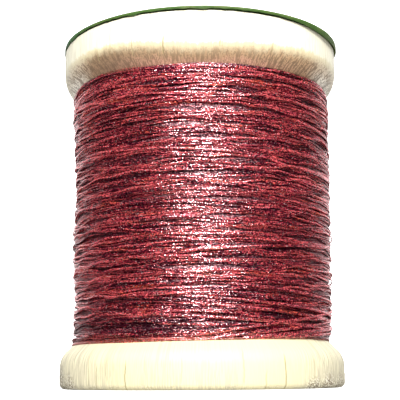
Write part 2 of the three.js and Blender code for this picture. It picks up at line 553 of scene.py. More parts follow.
def clump(heights, angles):
    """How far the turns are pushed along the spool into bundles, and how far those bundles stand out."""
    rng = np.random.default_rng(CLUMP_WAVES["seed"])
    push = np.zeros_like(heights)
    swell = np.zeros_like(heights)
    for _ in range(CLUMP_WAVES["count"]):
        length = rng.uniform(*CLUMP_WAVES["length"])
        climb = round(rng.normal(0, CLUMP_WAVES["climb"] * length))
        turn = FULL_TURN * heights / length - climb * angles + rng.uniform(0, FULL_TURN)
        push += CLUMP_WAVES["size"] * length * np.sin(turn)
        swell += CLUMP_WAVES["size"] * length * -np.cos(turn)
    return push, CLUMP_WAVES["swell"] * swell


def lay_pits():
    """The places where the turns part: each one's angle, height, tilt, half length, half height and depth."""
    rng = np.random.default_rng(PIT_SEED)
    rows = []
    for kind in PITS:
        for _ in range(kind["count"]):
            place = [rng.uniform(-math.pi, math.pi), rng.uniform(*PIT_HEIGHTS), rng.normal(0, PIT_TILT)]
            rows.append(place + [rng.uniform(*kind[column]) for column in ("length", "height", "depth")])
    return rows


def pit_depth(heights, angles):
    """How far the turns sink at heights and angles; a pit ends at three times its half size."""
    depth = np.zeros_like(heights)
    for angle, height, tilt, half_length, half_height, deepest in lay_pits():
        along = within_half_turn(angles - angle) * FLANGE_RADIUS
        across = heights - height - tilt * along
        near = (np.abs(along) < 3 * half_length) & (np.abs(across) < 3 * half_height)
        spread = (along[near] / half_length) ** 2 + (across[near] / half_height) ** 2
        depth[near] += deepest * np.exp(-spread)
    return depth


def wander(rng, count, *parts):
    """Smooth random values, the sum of parts: each one's share, and how many steps it holds together."""
    total = 0.0
    for share, reach in parts:
        spread = np.arange(-3 * reach, 3 * reach + 1) / reach
        kernel = np.exp(-0.5 * spread**2)
        kernel /= math.sqrt((kernel**2).sum())
        total = total + share * np.convolve(rng.normal(size=count + len(kernel) - 1), kernel, mode="valid")
    return total


def lay_thread(obj, points, angles, heights, radii, roll):
    """Moves each ring of a coil's points to its own height and radius, and rolls it."""
    centres = points.mean(axis=1, keepdims=True)
    offset = points - centres
    outward = np.stack([np.cos(angles), np.sin(angles)], axis=-1)
    out = offset[..., 0] * outward[:, None, 0] + offset[..., 1] * outward[:, None, 1]
    up = offset[..., 2]
    cosine, sine = np.cos(roll)[:, None], np.sin(roll)[:, None]
    rolled_out, rolled_up = out * cosine - up * sine, out * sine + up * cosine
    reach = radii[:, None] * MM + rolled_out
    placed = (reach * outward[:, None, 0], reach * outward[:, None, 1], heights[:, None] * MM + rolled_up)
    write_points(obj, np.stack(placed, axis=-1))
    lengths = np.arange(len(angles)) * (angles[1] - angles[0]) * FLANGE_RADIUS
    write_values(obj, "along", np.repeat(lengths, points.shape[1]))
    write_values(obj, "across", rolled_up.reshape(-1) / MM)


# Nodes

class Nodes:
    """A node tree, with a method for each kind of node. Values are sockets, numbers, vectors or colours."""

    def __init__(self, tree):
        self.tree = tree

    def feed(self, node, inputs):
        """Links sockets to a node's inputs, and sets its other inputs to their values."""
        for label, value in inputs.items():
            if isinstance(value, bpy.types.NodeSocket):
                self.tree.links.new(value, node.inputs[label])
            else:
                node.inputs[label].default_value = value

    def node(self, kind, inputs, **options):
        """A shader node of a kind, with its options and its inputs."""
        node = self.tree.nodes.new(f"ShaderNode{kind}")
        for label, value in options.items():
            setattr(node, label, value)
        self.feed(node, inputs)
        return node

    def group(self, group, **inputs):
        """The value of a node group, with its inputs given in small letters."""
        inputs = {label.capitalize(): value for label, value in inputs.items()}
        return self.node("Group", inputs, node_tree=group).outputs[0]

    def maths(self, operation, first, second=0.0, clamp=False):
        """A Math node."""
        return self.node("Math", {0: first, 1: second}, operation=operation, use_clamp=clamp).outputs[0]

    plus = partialmethod(maths, "ADD")
    minus = partialmethod(maths, "SUBTRACT")
    times = partialmethod(maths, "MULTIPLY")
    larger = partialmethod(maths, "MAXIMUM")

    def swing(self, noise, size):
        """Noise that swings about 0, multiplied by a size."""
        return self.times(self.minus(noise, 0.5), size)

    def vector(self, x, y, z):
        """Three values as a vector."""
        return self.node("CombineXYZ", {"X": x, "Y": y, "Z": z}).outputs["Vector"]

    def vector_maths(self, operation, *values, result="Vector"):
        """A Vector Math node."""
        return self.node("VectorMath", dict(enumerate(values)), operation=operation).outputs[result]

    def attribute(self, name):
        """A number stored with the mesh."""
        return self.node("Attribute", {}, attribute_name=name).outputs["Fac"]

    def place(self):
        """The point in the part's frame, in metres."""
        return self.node("TexCoord", {}).outputs["Object"]

    def axes(self):
        """The point's X, Y and Z, in metres."""
        return self.node("SeparateXYZ", {"Vector": self.place()}).outputs

    def height(self):
        """The height over the base face, in millimetres."""
        return self.times(self.axes()["Z"], 1 / MM)

    def side(self):
        """How far the point is to the left or the right of the spool's axis, in millimetres."""
        return self.maths("ABSOLUTE", self.times(self.axes()["X"], 1 / MM))

    def near(self, angle, height, half_width):
        """1 at a place on the flanges' outside and 0 past its half width."""
        turn = math.radians(angle)
        centre = Vector((math.cos(turn) * FLANGE_RADIUS, math.sin(turn) * FLANGE_RADIUS, height)) * MM
        distance = self.vector_maths("DISTANCE", self.place(), centre, result="Value")
        return self.ranged(distance, 0, half_width * MM, 1, 0)

    def ranged(self, value, low, high, to_low=0.0, to_high=1.0):
        """A value brought from low..high to to_low..to_high, smoothly and no further."""
        inputs = {"Value": value, "From Min": low, "From Max": high, "To Min": to_low, "To Max": to_high}
        return self.node("MapRange", inputs, interpolation_type="SMOOTHSTEP").outputs["Result"]

    def mixed(self, factor, first, second, blend="MIX"):
        """Two colours mixed by a factor."""
        sides = [side if isinstance(side, bpy.types.NodeSocket) else (*side, 1) for side in (first, second)]
        inputs = {0: factor, 6: sides[0], 7: sides[1]}
        return self.node("Mix", inputs, data_type="RGBA", blend_type=blend).outputs[2]

    def shaded(self, tone, colours):
        """Colours evenly spread over a tone from 0 to 1."""
        node = self.node("ValToRGB", {"Fac": tone})
        for _ in colours[2:]:
            node.color_ramp.elements.new(0.5)
        for i, colour in enumerate(colours):
            node.color_ramp.elements[i].position = i / (len(colours) - 1)
            node.color_ramp.elements[i].color = (*colour, 1)
        return node.outputs["Color"]

    def bump(self, shader, height, distance):
        """Feeds a height, as a share of a distance in metres, to a shader's normal."""
        bump = self.node("Bump", {"Height": height, "Distance": distance, "Strength": 1.0})
        self.feed(shader, {"Normal": bump.outputs["Normal"]})


def shared_group(name, inputs, fill):
    """A node group with number inputs and one value, made only once; fill gives the value from the inputs."""
    if name in bpy.data.node_groups:
        return bpy.data.node_groups[name]
    group = bpy.data.node_groups.new(name, "ShaderNodeTree")
    for label, value in inputs.items():
        socket = group.interface.new_socket(name=label, in_out="INPUT", socket_type="NodeSocketFloat")
        socket.default_value = value
    group.interface.new_socket(name="Value", in_out="OUTPUT", socket_type="NodeSocketFloat")
    entry, leave = group.nodes.new("NodeGroupInput"), group.nodes.new("NodeGroupOutput")
    nodes = Nodes(group)
    nodes.feed(leave, {"Value": fill(nodes, entry.outputs)})
    return group


def noise_group(name, labels, place):
    """A shared group of noise, read at the vector that place gives from the inputs."""

    def fill(nodes, entry):
        inputs = {"Vector": place(nodes, entry), "Scale": 1, "Detail": entry["Detail"]}
        return nodes.node("TexNoise", inputs).outputs["Fac"]

    return shared_group(name, {**dict.fromkeys(labels, 1.0), "Detail": 2.0, "Shift": 0.0}, fill)


def drawn_noise():
    """Noise drawn out along the spool or round it: its features for each millimetre across and along Z."""

    def place(nodes, entry):
        across, along = nodes.times(entry["Across"], 1 / MM), nodes.times(entry["Along"], 1 / MM)
        shift = nodes.vector(entry["Shift"], entry["Shift"], entry["Shift"])
        return nodes.vector_maths("MULTIPLY_ADD", nodes.place(), nodes.vector(across, across, along), shift)

    return noise_group("Drawn noise", ("Across", "Along"), place)


def thread_noise():
    """Noise that follows the thread: its features for each millimetre along and across it."""

    def place(nodes, entry):
        along = nodes.times(nodes.attribute("along"), entry["Along"])
        across = nodes.times(nodes.attribute("across"), entry["Across"])
        return nodes.vector(along, across, entry["Shift"])

    return noise_group("Thread noise", ("Along", "Across"), place)


def round_noise():
    """Noise that runs straight along the spool's outline: features for each millimetre round it and along."""

    def place(nodes, entry):
        flat = nodes.vector_maths("MULTIPLY", nodes.place(), (1, 1, 0))
        radius = nodes.vector_maths("LENGTH", flat, result="Value")
        across = nodes.times(entry["Round"], FLANGE_RADIUS)
        circle = nodes.vector_maths(
            "MULTIPLY", nodes.vector_maths("NORMALIZE", flat), nodes.vector(across, across, across)
        )
        outline = nodes.times(nodes.plus(nodes.axes()["Z"], radius), 1 / MM)
        run = nodes.plus(nodes.times(outline, entry["Along"]), entry["Shift"])
        return nodes.vector_maths("ADD", circle, nodes.vector(0, 0, run))

    return noise_group("Round noise", ("Round", "Along"), place)


def fan_noise():
    """Noise in lines that spread upwards from a point on the spool's axis, for the brushed underside."""

    def place(nodes, entry):
        axes = nodes.axes()
        spread = nodes.maths("DIVIDE", axes["X"], nodes.minus(axes["Z"], FAN_POINT * MM))
        spread = nodes.times(spread, SPOOL_HEIGHT - TOP_FLANGE["wall"] - FAN_POINT)
        run = nodes.plus(nodes.times(nodes.times(axes["Z"], 1 / MM), entry["Along"]), entry["Shift"])
        return nodes.vector(nodes.times(spread, entry["Across"]), nodes.times(axes["Y"], 0.5 / MM), run)

    return noise_group("Fan noise", ("Across", "Along"), place)


def grain_line():
    """A thin, slightly crooked line along the outline: 1 on it and 0 beside it, with fading ends."""

    def fill(nodes, entry):
        axes, sine, cosine = nodes.axes(), entry["Sine"], entry["Cosine"]
        x, y, height = axes["X"], axes["Y"], nodes.times(axes["Z"], 1 / MM)
        beside = nodes.times(nodes.minus(nodes.times(x, sine), nodes.times(y, cosine)), 1 / MM)
        crook = nodes.group(drawn_noise(), across=0.0, along=0.9, detail=3.0, shift=nodes.times(sine, 40))
        crooked = nodes.plus(beside, nodes.swing(crook, 0.5))
        mask = nodes.ranged(nodes.maths("ABSOLUTE", crooked), 0.01, 0.08, 1, 0)
        on_side = nodes.maths("GREATER_THAN", nodes.plus(nodes.times(x, cosine), nodes.times(y, sine)), 0)
        over_low = nodes.times(nodes.minus(height, entry["Low"]), 4, clamp=True)
        under_high = nodes.times(nodes.minus(entry["High"], height), 2, clamp=True)
        for factor in (on_side, over_low, under_high, entry["Strength"]):
            mask = nodes.times(mask, factor)
        return mask

    inputs = {"Sine": 0.0, "Cosine": 1.0, "Low": 0.0, "High": 1.0, "Strength": 1.0}
    return shared_group("Grain line", inputs, fill)


# Materials

def new_material(name, roughness):
    """A material with a Principled shader of that roughness, and its nodes."""
    material = bpy.data.materials.new(name)
    material.use_nodes = True
    shader = material.node_tree.nodes["Principled BSDF"]
    shader.inputs["Roughness"].default_value = roughness
    return material, Nodes(material.node_tree), shader


def hatched_wood(nodes, settings, hatch, height, side):
    """Pale wood with a fine hatch, strong in stretches and, as painted shade, to both sides, and rings on
    both end faces, darker towards the base; the upper half, and a little both sides, are painted whiter as
    painted light.
    """
    upper = nodes.ranged(height, *MIDDLE)
    stretches = nodes.group(round_noise(), round=0.25, along=0.2, detail=1.0, shift=5.0)
    # Painted shade: towards both sides the dark hatch is stronger, where the light falls off
    to_side = nodes.ranged(side, 5.5, 9.5, 0, 0.9)
    strong = nodes.larger(nodes.ranged(stretches, 0.4, 0.6, 0.15, 0.7), to_side)
    strong = nodes.times(strong, nodes.ranged(height, *MIDDLE, 1, 0.35))
    # Painted light: the upper half, where more light falls, and a little both sides are painted whiter
    painted_light = nodes.larger(nodes.times(upper, 0.6), nodes.times(to_side, 0.3))
    pale = nodes.mixed(painted_light, settings.pale, settings.wall)
    colour = nodes.mixed(nodes.times(nodes.ranged(hatch, 0.47, 0.55), strong), pale, settings.grain)
    colour = nodes.mixed(nodes.ranged(height, 0.2, 2.6, 0.25, 0), colour, settings.grain)
    rings = nodes.group(drawn_noise(), across=0.9, along=0.0, detail=3.0, shift=51.0)
    end_face = nodes.larger(nodes.ranged(height, 0.05, 0.15, 1, 0), nodes.ranged(height, 27.8, 27.95))
    ring_lines = nodes.times(nodes.ranged(rings, 0.5, 0.62), end_face)
    return nodes.mixed(nodes.times(ring_lines, 0.7), colour, settings.grain)


def brushed_underside(nodes, settings, colour, height, side):
    """The top flange's underside over the wood's colour: tan painted shade, brushed, with an uneven golden
    painted highlight at its border.

    The painted shade reaches higher to both sides and is darker at its left, with a red painted reflection of
    the thread beside it, and it is painted pale as painted light at its two ends.
    """
    uneven = nodes.group(round_noise(), round=2.6, along=0.9, detail=4.0, shift=71.0)
    fine = nodes.group(round_noise(), round=8.0, along=5.0, detail=1.0, shift=83.0)
    ticks = nodes.group(fan_noise(), across=9.0, along=1.6, detail=2.0)
    # Painted shade: the underside is darker at its left, and its painted shade reaches higher there
    on_left = nodes.near(**SHADED_UNDERSIDE)
    under = nodes.plus(nodes.plus(height, nodes.swing(uneven, 0.7)), nodes.swing(ticks, 0.4))
    under = nodes.minus(nodes.minus(under, nodes.times(side, 0.06)), nodes.times(on_left, 0.3))
    ends = nodes.times(nodes.ranged(side, 8.2, 10.4), nodes.ranged(height, 24.2, 25.0, 1, 0.3))
    zone = nodes.times(nodes.ranged(height, *MIDDLE), nodes.ranged(side, 10.2, 11.4, 1, 0.3))
    inside = nodes.minus(zone, nodes.times(ends, zone))
    # Tan painted shade, a red painted reflection of the thread beside it, and a golden painted highlight at
    # the border
    painted_shade = nodes.ranged(under, *PAINTED_SHADE_BORDER, 1, 0)
    painted_red_reflection = nodes.times(nodes.ranged(under, *PAINTED_REFLECTION_BORDER, 0.9, 0), nodes.ranged(side, 3, 8, 1, 0.1))
    brushed = nodes.mixed(painted_red_reflection, settings.tan, settings.painted_red_reflection)
    brushed = nodes.mixed(nodes.times(on_left, 0.5), brushed, settings.pore_and_shade)
    golden = nodes.times(nodes.ranged(under, *PAINTED_HIGHLIGHT_BORDER, 0.6, 0), inside)
    colour = nodes.mixed(golden, colour, settings.golden)
    colour = nodes.mixed(nodes.times(painted_shade, inside), colour, brushed)
    # Painted light: the underside's two ends are painted pale
    below = nodes.times(painted_shade, zone)
    paler_by_wear_and_light = nodes.minus(below, nodes.times(below, inside))
    colour = nodes.mixed(paler_by_wear_and_light, colour, settings.pale_wear_and_light)
    scratches = nodes.larger(nodes.ranged(ticks, 0.50, 0.57), nodes.ranged(fine, 0.47, 0.38))
    scratches = nodes.times(scratches, nodes.times(below, nodes.ranged(side, 2, 8, 0.5, 0.75)))
    return nodes.mixed(scratches, colour, settings.pore_and_shade)


def worn_wood(nodes, settings, colour, height):
    """Dark and light speckle at worn places and along the base's rim: the colour, and where pores are."""
    breaks = nodes.group(round_noise(), round=0.8, along=0.35, detail=2.0, shift=31.0)
    speckle = nodes.group(drawn_noise(), across=9.0, along=8.0, detail=1.0, shift=37.0)
    chips = nodes.times(nodes.ranged(height, 0.1, 0.5, 1, 0), nodes.ranged(breaks, 0.45, 0.6))
    worn = nodes.times(chips, 0.15)
    for place in WORN_PLACES:
        worn = nodes.larger(nodes.near(**place), worn)
    worn = nodes.times(worn, 1.8, clamp=True)
    pores = nodes.times(nodes.ranged(speckle, 0.50, 0.55), worn)
    colour = nodes.mixed(nodes.times(pores, 0.9), colour, settings.pore_and_shade)
    paler_by_wear_and_light = nodes.times(nodes.ranged(speckle, 0.44, 0.36), worn)
    return nodes.mixed(nodes.times(paler_by_wear_and_light, 0.7), colour, settings.pale_wear_and_light), pores


def grain_lines(nodes):
    """Where the dark lines of the grain are."""
    lines = 0.0
    for line in GRAIN_LINES:
        turn = math.radians(line["angle"])
        ends = {column: line[column] for column in ("low", "high", "strength")}
        one = nodes.group(grain_line(), sine=math.sin(turn), cosine=math.cos(turn), **ends)
        lines = nodes.larger(one, lines)
    return lines


def wood_material(settings):
    """Pale, fine-grained wood: a fine hatch and crisp dark lines along the grain, speckle and worn places."""
    material, nodes, shader = new_material("Pale turned wood", 0.6)
    height, side = nodes.height(), nodes.side()
    hatch = nodes.group(round_noise(), round=13.0, along=0.7, detail=1.0)
    colour = hatched_wood(nodes, settings, hatch, height, side)
    colour = brushed_underside(nodes, settings, colour, height, side)
    colour, pores = worn_wood(nodes, settings, colour, height)
    lines = grain_lines(nodes)
    colour = nodes.mixed(nodes.times(lines, 0.75), colour, settings.line)
    nodes.feed(shader, {"Base Color": colour, "Roughness": nodes.ranged(hatch, 0.3, 0.7, 0.5, 0.7)})
    relief = nodes.minus(nodes.times(hatch, 0.5), pores)
    nodes.bump(shader, nodes.minus(relief, lines), 0.03 * MM)
    return material


def thread_material(name, settings, lightness, roughness, edge=0.0):
    """Shiny filament thread: its shade and hue wander along each turn, with fine filaments, pale sparks,
    painted glints, and a painted highlight and painted shade in two places.

    Edge is the share of warm light that shines through it from the wood.
    """
    material, nodes, shader = new_material(name, roughness)
    filaments = nodes.group(thread_noise(), along=0.9, across=11.0, detail=2.0)
    dashes = nodes.group(thread_noise(), along=3.0, across=9.0, detail=2.0, shift=29.0)
    grain = nodes.group(thread_noise(), along=8.0, across=12.0, detail=0.0, shift=43.0)
    glints = nodes.group(thread_noise(), along=8.5, across=13.0, detail=0.0, shift=17.0)
    patches = nodes.group(drawn_noise(), across=0.45, along=2.6, detail=3.0, shift=61.0)

    tone = nodes.plus(nodes.attribute("shade"), lightness + 0.04)
    for source, size in ((filaments, 2.6), (dashes, 3.9), (grain, 3.2)):
        tone = nodes.plus(tone, nodes.swing(source, size))

    # Painted highlight and painted shade: in the middle of the front the tone is painted brighter and the
    # shine has more sparks, and in one place at its upper left the tone is painted darker and the shine has
    # fewer sparks
    painted_highlight, dimmed = nodes.near(**PAINTED_HIGHLIGHT_PLACE), nodes.near(**PAINTED_SHADE_PLACE)
    painted_light_change = nodes.minus(nodes.times(painted_highlight, 0.03), nodes.times(dimmed, 0.07))
    shine = nodes.plus(glints, painted_light_change)
    tone = nodes.plus(tone, nodes.times(painted_light_change, 4))

    stops = (settings.deep, settings.burgundy, settings.middle, settings.bright, settings.glint)
    colour = nodes.shaded(tone, stops)
    colour = nodes.mixed(nodes.ranged(patches, 0.45, 0.25), colour, settings.magenta, "MULTIPLY")
    colour = nodes.mixed(nodes.ranged(patches, 0.55, 0.72), colour, settings.warm, "MULTIPLY")
    colour = nodes.mixed(edge, colour, settings.edge)
    sparks = nodes.times(nodes.ranged(shine, 0.50, 0.57), nodes.ranged(tone, 0.0, 0.3, 0.35, 1))
    colour = nodes.mixed(sparks, colour, settings.spark)
    # Painted glints: rare pale dots, mostly not metallic, that stand in for glints
    painted_glints = nodes.ranged(glints, 0.75, 0.78)
    colour = nodes.mixed(painted_glints, colour, settings.painted_glint)
    metallic = nodes.ranged(shine, 0.48, 0.53, 0.40, 1.0)
    nodes.feed(shader, {
        "Base Color": colour,
        "Roughness": nodes.minus(roughness, nodes.times(sparks, 0.1)),
        "Metallic": nodes.minus(metallic, nodes.times(painted_glints, 0.8)),
        "Specular IOR Level": 0.2,
        "Sheen Weight": 0.2,
        "Sheen Roughness": 0.4,
        "Sheen Tint": (0.7, 0.07, 0.09, 1),
    })
    relief = nodes.plus(nodes.times(filaments, 0.8), nodes.times(grain, 0.5))
    nodes.bump(shader, relief, 0.08 * MM)
    return material


def label_material(settings):
    """Plain green paper with short pressed fibres and lighter worn streaks; lighter along its top, painted
    darker at the bottom of its rim as painted shade, and paler at its right end as painted light.
    """
    material, nodes, shader = new_material("Green label paper", 0.6)
    fibres = nodes.group(drawn_noise(), across=5.0, along=5.0, detail=4.0)
    cloud = nodes.group(drawn_noise(), across=0.7, along=2.0, detail=3.0, shift=9.0)
    dark = [channel * 0.55 for channel in settings.green]
    colour = nodes.mixed(nodes.ranged(cloud, 0.4, 0.75, 0, 0.6), settings.green, settings.streak_and_painted_light)
    colour = nodes.mixed(nodes.ranged(fibres, 0.5, 0.8, 0, 0.6), colour, dark)
    colour = nodes.mixed(nodes.times(nodes.near(**BLUISH_PAPER), 0.8), colour, settings.bluish)
    over_wood = nodes.minus(nodes.height(), SPOOL_HEIGHT)
    colour = nodes.mixed(nodes.ranged(over_wood, 0.13, 0.18, 0, 0.8), colour, settings.streak_and_painted_light)
    # Painted shade: the bottom of the rim, next to the wood, is darker
    colour = nodes.mixed(nodes.ranged(over_wood, 0.06, 0, 0, 0.5), colour, dark)
    # Painted light: the paper's right end is paler
    colour = nodes.mixed(nodes.times(nodes.near(**PAINTED_LIGHT_PAPER), 0.8), colour, settings.streak_and_painted_light)
    roughness = nodes.ranged(fibres, 0.3, 0.7, 0.5, 0.7)
    nodes.feed(shader, {"Base Color": colour, "Roughness": roughness, "Specular IOR Level": 0.15})
    nodes.bump(shader, fibres, 0.02 * MM)
    return material


def floor_material(colour):
    """A matt pale floor with the faintest mottling, white to the camera."""
    material, nodes, shader = new_material("Studio floor", 0.9)
    mottling = nodes.node("TexNoise", {"Scale": 3, "Vector": nodes.place()}).outputs["Fac"]
    mottled = nodes.mixed(mottling, colour, [channel * 0.985 for channel in colour])
    path = nodes.node("LightPath", {}).outputs
    dimmed = [channel * 0.05 for channel in colour]
    bounced = nodes.times(path["Is Diffuse Ray"], 0.5)
    nodes.feed(shader, {
        "Base Color": nodes.mixed(path["Is Glossy Ray"], mottled, dimmed),
        "Specular IOR Level": 0.1,
        "Emission Color": (1, 1, 1, 1),
        "Emission Strength": nodes.plus(path["Is Camera Ray"], bounced),
    })
    return material


def surroundings(front, back):
    """White to the camera; it lights the spool softly from behind and above, and less from the front."""
    world = bpy.data.worlds.new("Studio surroundings")
    world.use_nodes = True
    nodes = Nodes(world.node_tree)
    direction = nodes.node("TexCoord", {}).outputs["Generated"]
    backwards = nodes.node("SeparateXYZ", {"Vector": direction}).outputs["Y"]
    light = nodes.ranged(backwards, 0.15, 1.0, front, 1.2 * back)
    mirrored = nodes.ranged(backwards, 0.3, 1.05, front, back)
    path = nodes.node("LightPath", {}).outputs
    light = nodes.plus(light, nodes.times(nodes.minus(mirrored, light), path["Is Glossy Ray"]))
    strength = nodes.larger(light, path["Is Camera Ray"])
    nodes.feed(world.node_tree.nodes["Background"], {"Color": (1, 1, 1, 1), "Strength": strength})
    return world


# The winding and the stage

def finish_piece(obj, material, slot, *nodes):
    """Gives a piece its material, lets it ride on the part, and hides the imported solids it stands for."""
    obj.data.materials.clear()
    obj.data.materials.append(material)
    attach(obj, "root")
    if nodes:
        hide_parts(*nodes)


def winding_ends(depth):
    """Heights of the first and the last turn of thread of this depth, which rest on the shoulders."""
    half = depth / 2
    low = inner_face_height(BOTTOM_FLANGE, WINDING_FORM[0]["radius"] - half) + half
    high = SPOOL_HEIGHT - inner_face_height(TOP_FLANGE, WINDING_FORM[-1]["radius"] - half) - half
    return low, high


def traverse(rng, count, steps, low, high, slopes):
    """Heights of a thread that climbs and falls between two heights, each time at a slope of its own."""
    heights = np.empty(count)
    height, up = rng.uniform(low, high), True
    slope = rng.uniform(*slopes) / steps
    for i in range(count):
        height += slope if up else -slope
        if not low < height < high:
            height = min(max(height, low), high)
            up = not up
            slope = rng.uniform(*slopes) / steps
        heights[i] = height
    kernel = np.hanning(steps // 3)
    half = len(kernel) // 2
    smooth = np.convolve(np.pad(heights, half, mode="edge"), kernel / kernel.sum(), mode="same")
    return smooth[half:half + count]


def wind_layer(layer, settings, material):
    """Winds one layer of the table, with its turns laid unevenly."""
    rng = np.random.default_rng(layer["seed"])
    turns, sides, size, steps = layer["turns"], layer["sides"], layer["size"], settings.steps
    depth = settings.depth * size / MM
    low, high = winding_ends(depth)
    rise = (high - low) / turns
    obj, points = coil(layer["name"], turns, sides, settings, size, FLANGE_RADIUS, low, rise)
    count = len(points)
    angles = np.arange(count) * FULL_TURN / steps + rng.uniform(0, FULL_TURN)
    if layer["slopes"][1]:
        travel = traverse(rng, count, steps, low + END_MARGIN, high - END_MARGIN, layer["slopes"])
    else:
        travel = np.linspace(low, high, count)
    push, swell = clump(travel, angles)
    fade = np.clip(np.minimum(travel - low, high - travel) / END_FADE, 0, 1)
    sideways = wander(rng, count, *SIDEWAYS)
    heights = np.clip(travel + (push + layer["wander"] * sideways) * fade, low, high)
    lift = wander(rng, count, *UP_AND_DOWN)
    pits = pit_depth(heights, angles)
    heights = drooped(heights, angles)
    radii = form_radius(heights, angles) - depth / 2 + swell + layer["lift"] + layer["spread"] * lift - pits
    lay_thread(obj, points, angles, heights, radii, wander(rng, count, ROLL))
    # Painted shade: darker towards the lower end, the more a turn sinks and in the pits; painted light:
    # lighter the more it stands out
    painted_low_shade = PAINTED_SHADE_LOW_END["shade"] * np.clip((PAINTED_SHADE_LOW_END["height"] - heights) / PAINTED_SHADE_LOW_END["run"], 0, 1)
    shade = layer["shade"] + wander(rng, count, *SHADES)
    shade += SHADE_BY_LIFT * layer["spread"] * lift - SHADE_BY_PIT * pits - painted_low_shade
    write_values(obj, "shade", np.repeat(shade, sides))
    finish_piece(obj, material, "thread")


def strand_knots():
    """Angle, height and lift of the last strands' bends; each strand rises, runs over the turns and dives."""
    dive, under, over = STRAND["dive"], STRAND["under"], STRAND["over"]
    knots = [(0.0, LAST_STRANDS[0]["from_height"], under)]
    for i, strand in enumerate(LAST_STRANDS):
        start = FULL_TURN * i + math.radians(strand["from_angle"]) + FULL_TURN / 2
        end = FULL_TURN * i + math.radians(strand["to_angle"]) + FULL_TURN / 2
        slope = (strand["to_height"] - strand["from_height"]) / (end - start)
        for angle, height in ((start, strand["from_height"]), (end, strand["to_height"])):
            lifts = (under, 0.0, over) if angle == start else (over, 0.0, under)
            for step, lift in zip((-dive, 0.0, dive), lifts):
                knots.append((angle + step, height + slope * step, lift))
    return np.array(knots).T


def strand_coil(name, turns, size, settings):
    """A coil for single strands, with its points and the angle of each of its rings."""
    obj, points = coil(name, turns, settings=settings, size=size, **STRAND_COIL)
    return obj, points, np.arange(len(points)) * FULL_TURN / settings.steps


def finish_strands(obj, points, angles, heights, radii, rng, shade, spread, material):
    """Lays a coil of single strands, with an uneven roll and a shade that wanders by a spread."""
    count, sides = points.shape[:2]
    lay_thread(obj, points, angles, heights, radii, wander(rng, count, STRAND_ROLL))
    shades = shade + wander(rng, count, (spread, STRAND_SHADE_REACH))
    write_values(obj, "shade", np.repeat(shades, sides))
    finish_piece(obj, material, "thread")


def soft_light(name, azimuth, elevation, distance, size, watts):
    """An area light that faces the middle of the spool."""
    middle = Vector((0, 0, SPOOL_HEIGHT * MM / 2))
    turn, lift = math.radians(azimuth), math.radians(elevation)
    direction = Vector((math.cos(turn) * math.cos(lift), math.sin(turn) * math.cos(lift), math.sin(lift)))
    light = bpy.data.lights.new(name, "AREA")
    light.shape = "DISK"
    light.size = size
    light.energy = watts
    obj = bpy.data.objects.new(name, light)
    obj.location = middle + direction * distance
    obj.rotation_euler = direction.to_track_quat("Z", "Y").to_euler()
    bpy.context.collection.objects.link(obj)


def place_camera(settings):
    """A camera in front of the spool, near the floor and looking a little up."""
    data = bpy.data.cameras.new("Camera")
    data.lens = settings.lens
    data.sensor_width = 36
    data.clip_start = 0.005
    data.clip_end = 10
    camera = bpy.data.objects.new("Camera", data)
    bpy.context.collection.objects.link(camera)
    turn = Matrix.Rotation(-settings.yaw, 4, "Z") @ Matrix.Rotation(QUARTER_TURN + settings.pitch, 4, "X")
    lean = Matrix.Rotation(settings.roll, 4, "Z")
    camera.matrix_world = Matrix.Translation((0, -settings.distance, settings.height)) @ turn @ lean
    bpy.context.scene.camera = camera


# Operators

class SPOOL_OT_turn_wood(bpy.types.Operator):
    """Turns the wooden spool with its rounded rims, sloped shoulders and bore."""

    bl_idname = "spool.turn_wood"
    bl_label = "Turn the wooden spool"

    def execute(self, context):
        settings = context.scene.spool_wood
        top = [(radius, SPOOL_HEIGHT - height) for radius, height in reversed(flange_profile(TOP_FLANGE))]
        obj = turned_piece("turned_wood", flange_profile(BOTTOM_FLANGE) + top, settings.steps)
        finish_piece(obj, wood_material(settings), "wood", "wooden_spool")
        return {"FINISHED"}


class SPOOL_OT_wind_under_layer(bpy.types.Operator):
    """Fills the room between the flanges with the body of the winding, just under its outer turns."""

    bl_idname = "spool.wind_under_layer"
    bl_label = "Wind the under layer"

    def execute(self, context):
        depth, clear, rows = UNDER_LAYER["depth"], UNDER_LAYER["clear"], UNDER_LAYER["rows"]
        inner, outer = BARREL_RADIUS + clear, STEEP_CONE_END_RADIUS

        def low_at(radius):
            return inner_face_height(BOTTOM_FLANGE, radius) + clear

        def high_at(radius):
            return SPOOL_HEIGHT - inner_face_height(TOP_FLANGE, radius) - clear

        lowest = low_at(WINDING_FORM[0]["radius"] - depth)
        highest = high_at(WINDING_FORM[-1]["radius"] - depth)
        heights = np.linspace(lowest, highest, rows)
        radii = form_radius(heights, np.full(rows, QUARTER_TURN)) - depth
        profile = [(inner, low_at(inner)), (outer, low_at(outer))]
        profile += list(zip(radii.tolist(), heights.tolist()))
        profile += [(outer, high_at(outer)), (inner, high_at(inner))]
        obj = turned_piece("under_layer", profile, UNDER_LAYER["steps"])

        points = read_points(obj)
        radius = np.hypot(points[:, 0], points[:, 1])
        angles = np.arctan2(points[:, 1], points[:, 0])
        heights = points[:, 2] / MM
        outside = radius > (outer + UNDER_LAYER["edge"]) * MM
        pits = pit_depth(heights, angles)
        moved = (form_radius(heights, angles) - depth + clump(heights, angles)[1] - pits) * MM
        radius[outside] = moved[outside]
        points[:, 0] = radius * np.cos(angles)
        points[:, 1] = radius * np.sin(angles)
        points[outside, 2] = drooped(heights, angles)[outside] * MM
        write_points(obj, points)
        # Painted shade: the body is dark where it shows between the turns, and darker in the pits
        write_values(obj, "shade", UNDER_LAYER["shade"] - UNDER_LAYER["pits"] * pits)
        write_values(obj, "along", np.abs(angles) * FLANGE_RADIUS)
        write_values(obj, "across", heights)
        material = thread_material("Thread under the turns", context.scene.spool_thread, -0.1, 0.4)
        finish_piece(obj, material, "thread", "thread_winding")
        return {"FINISHED"}


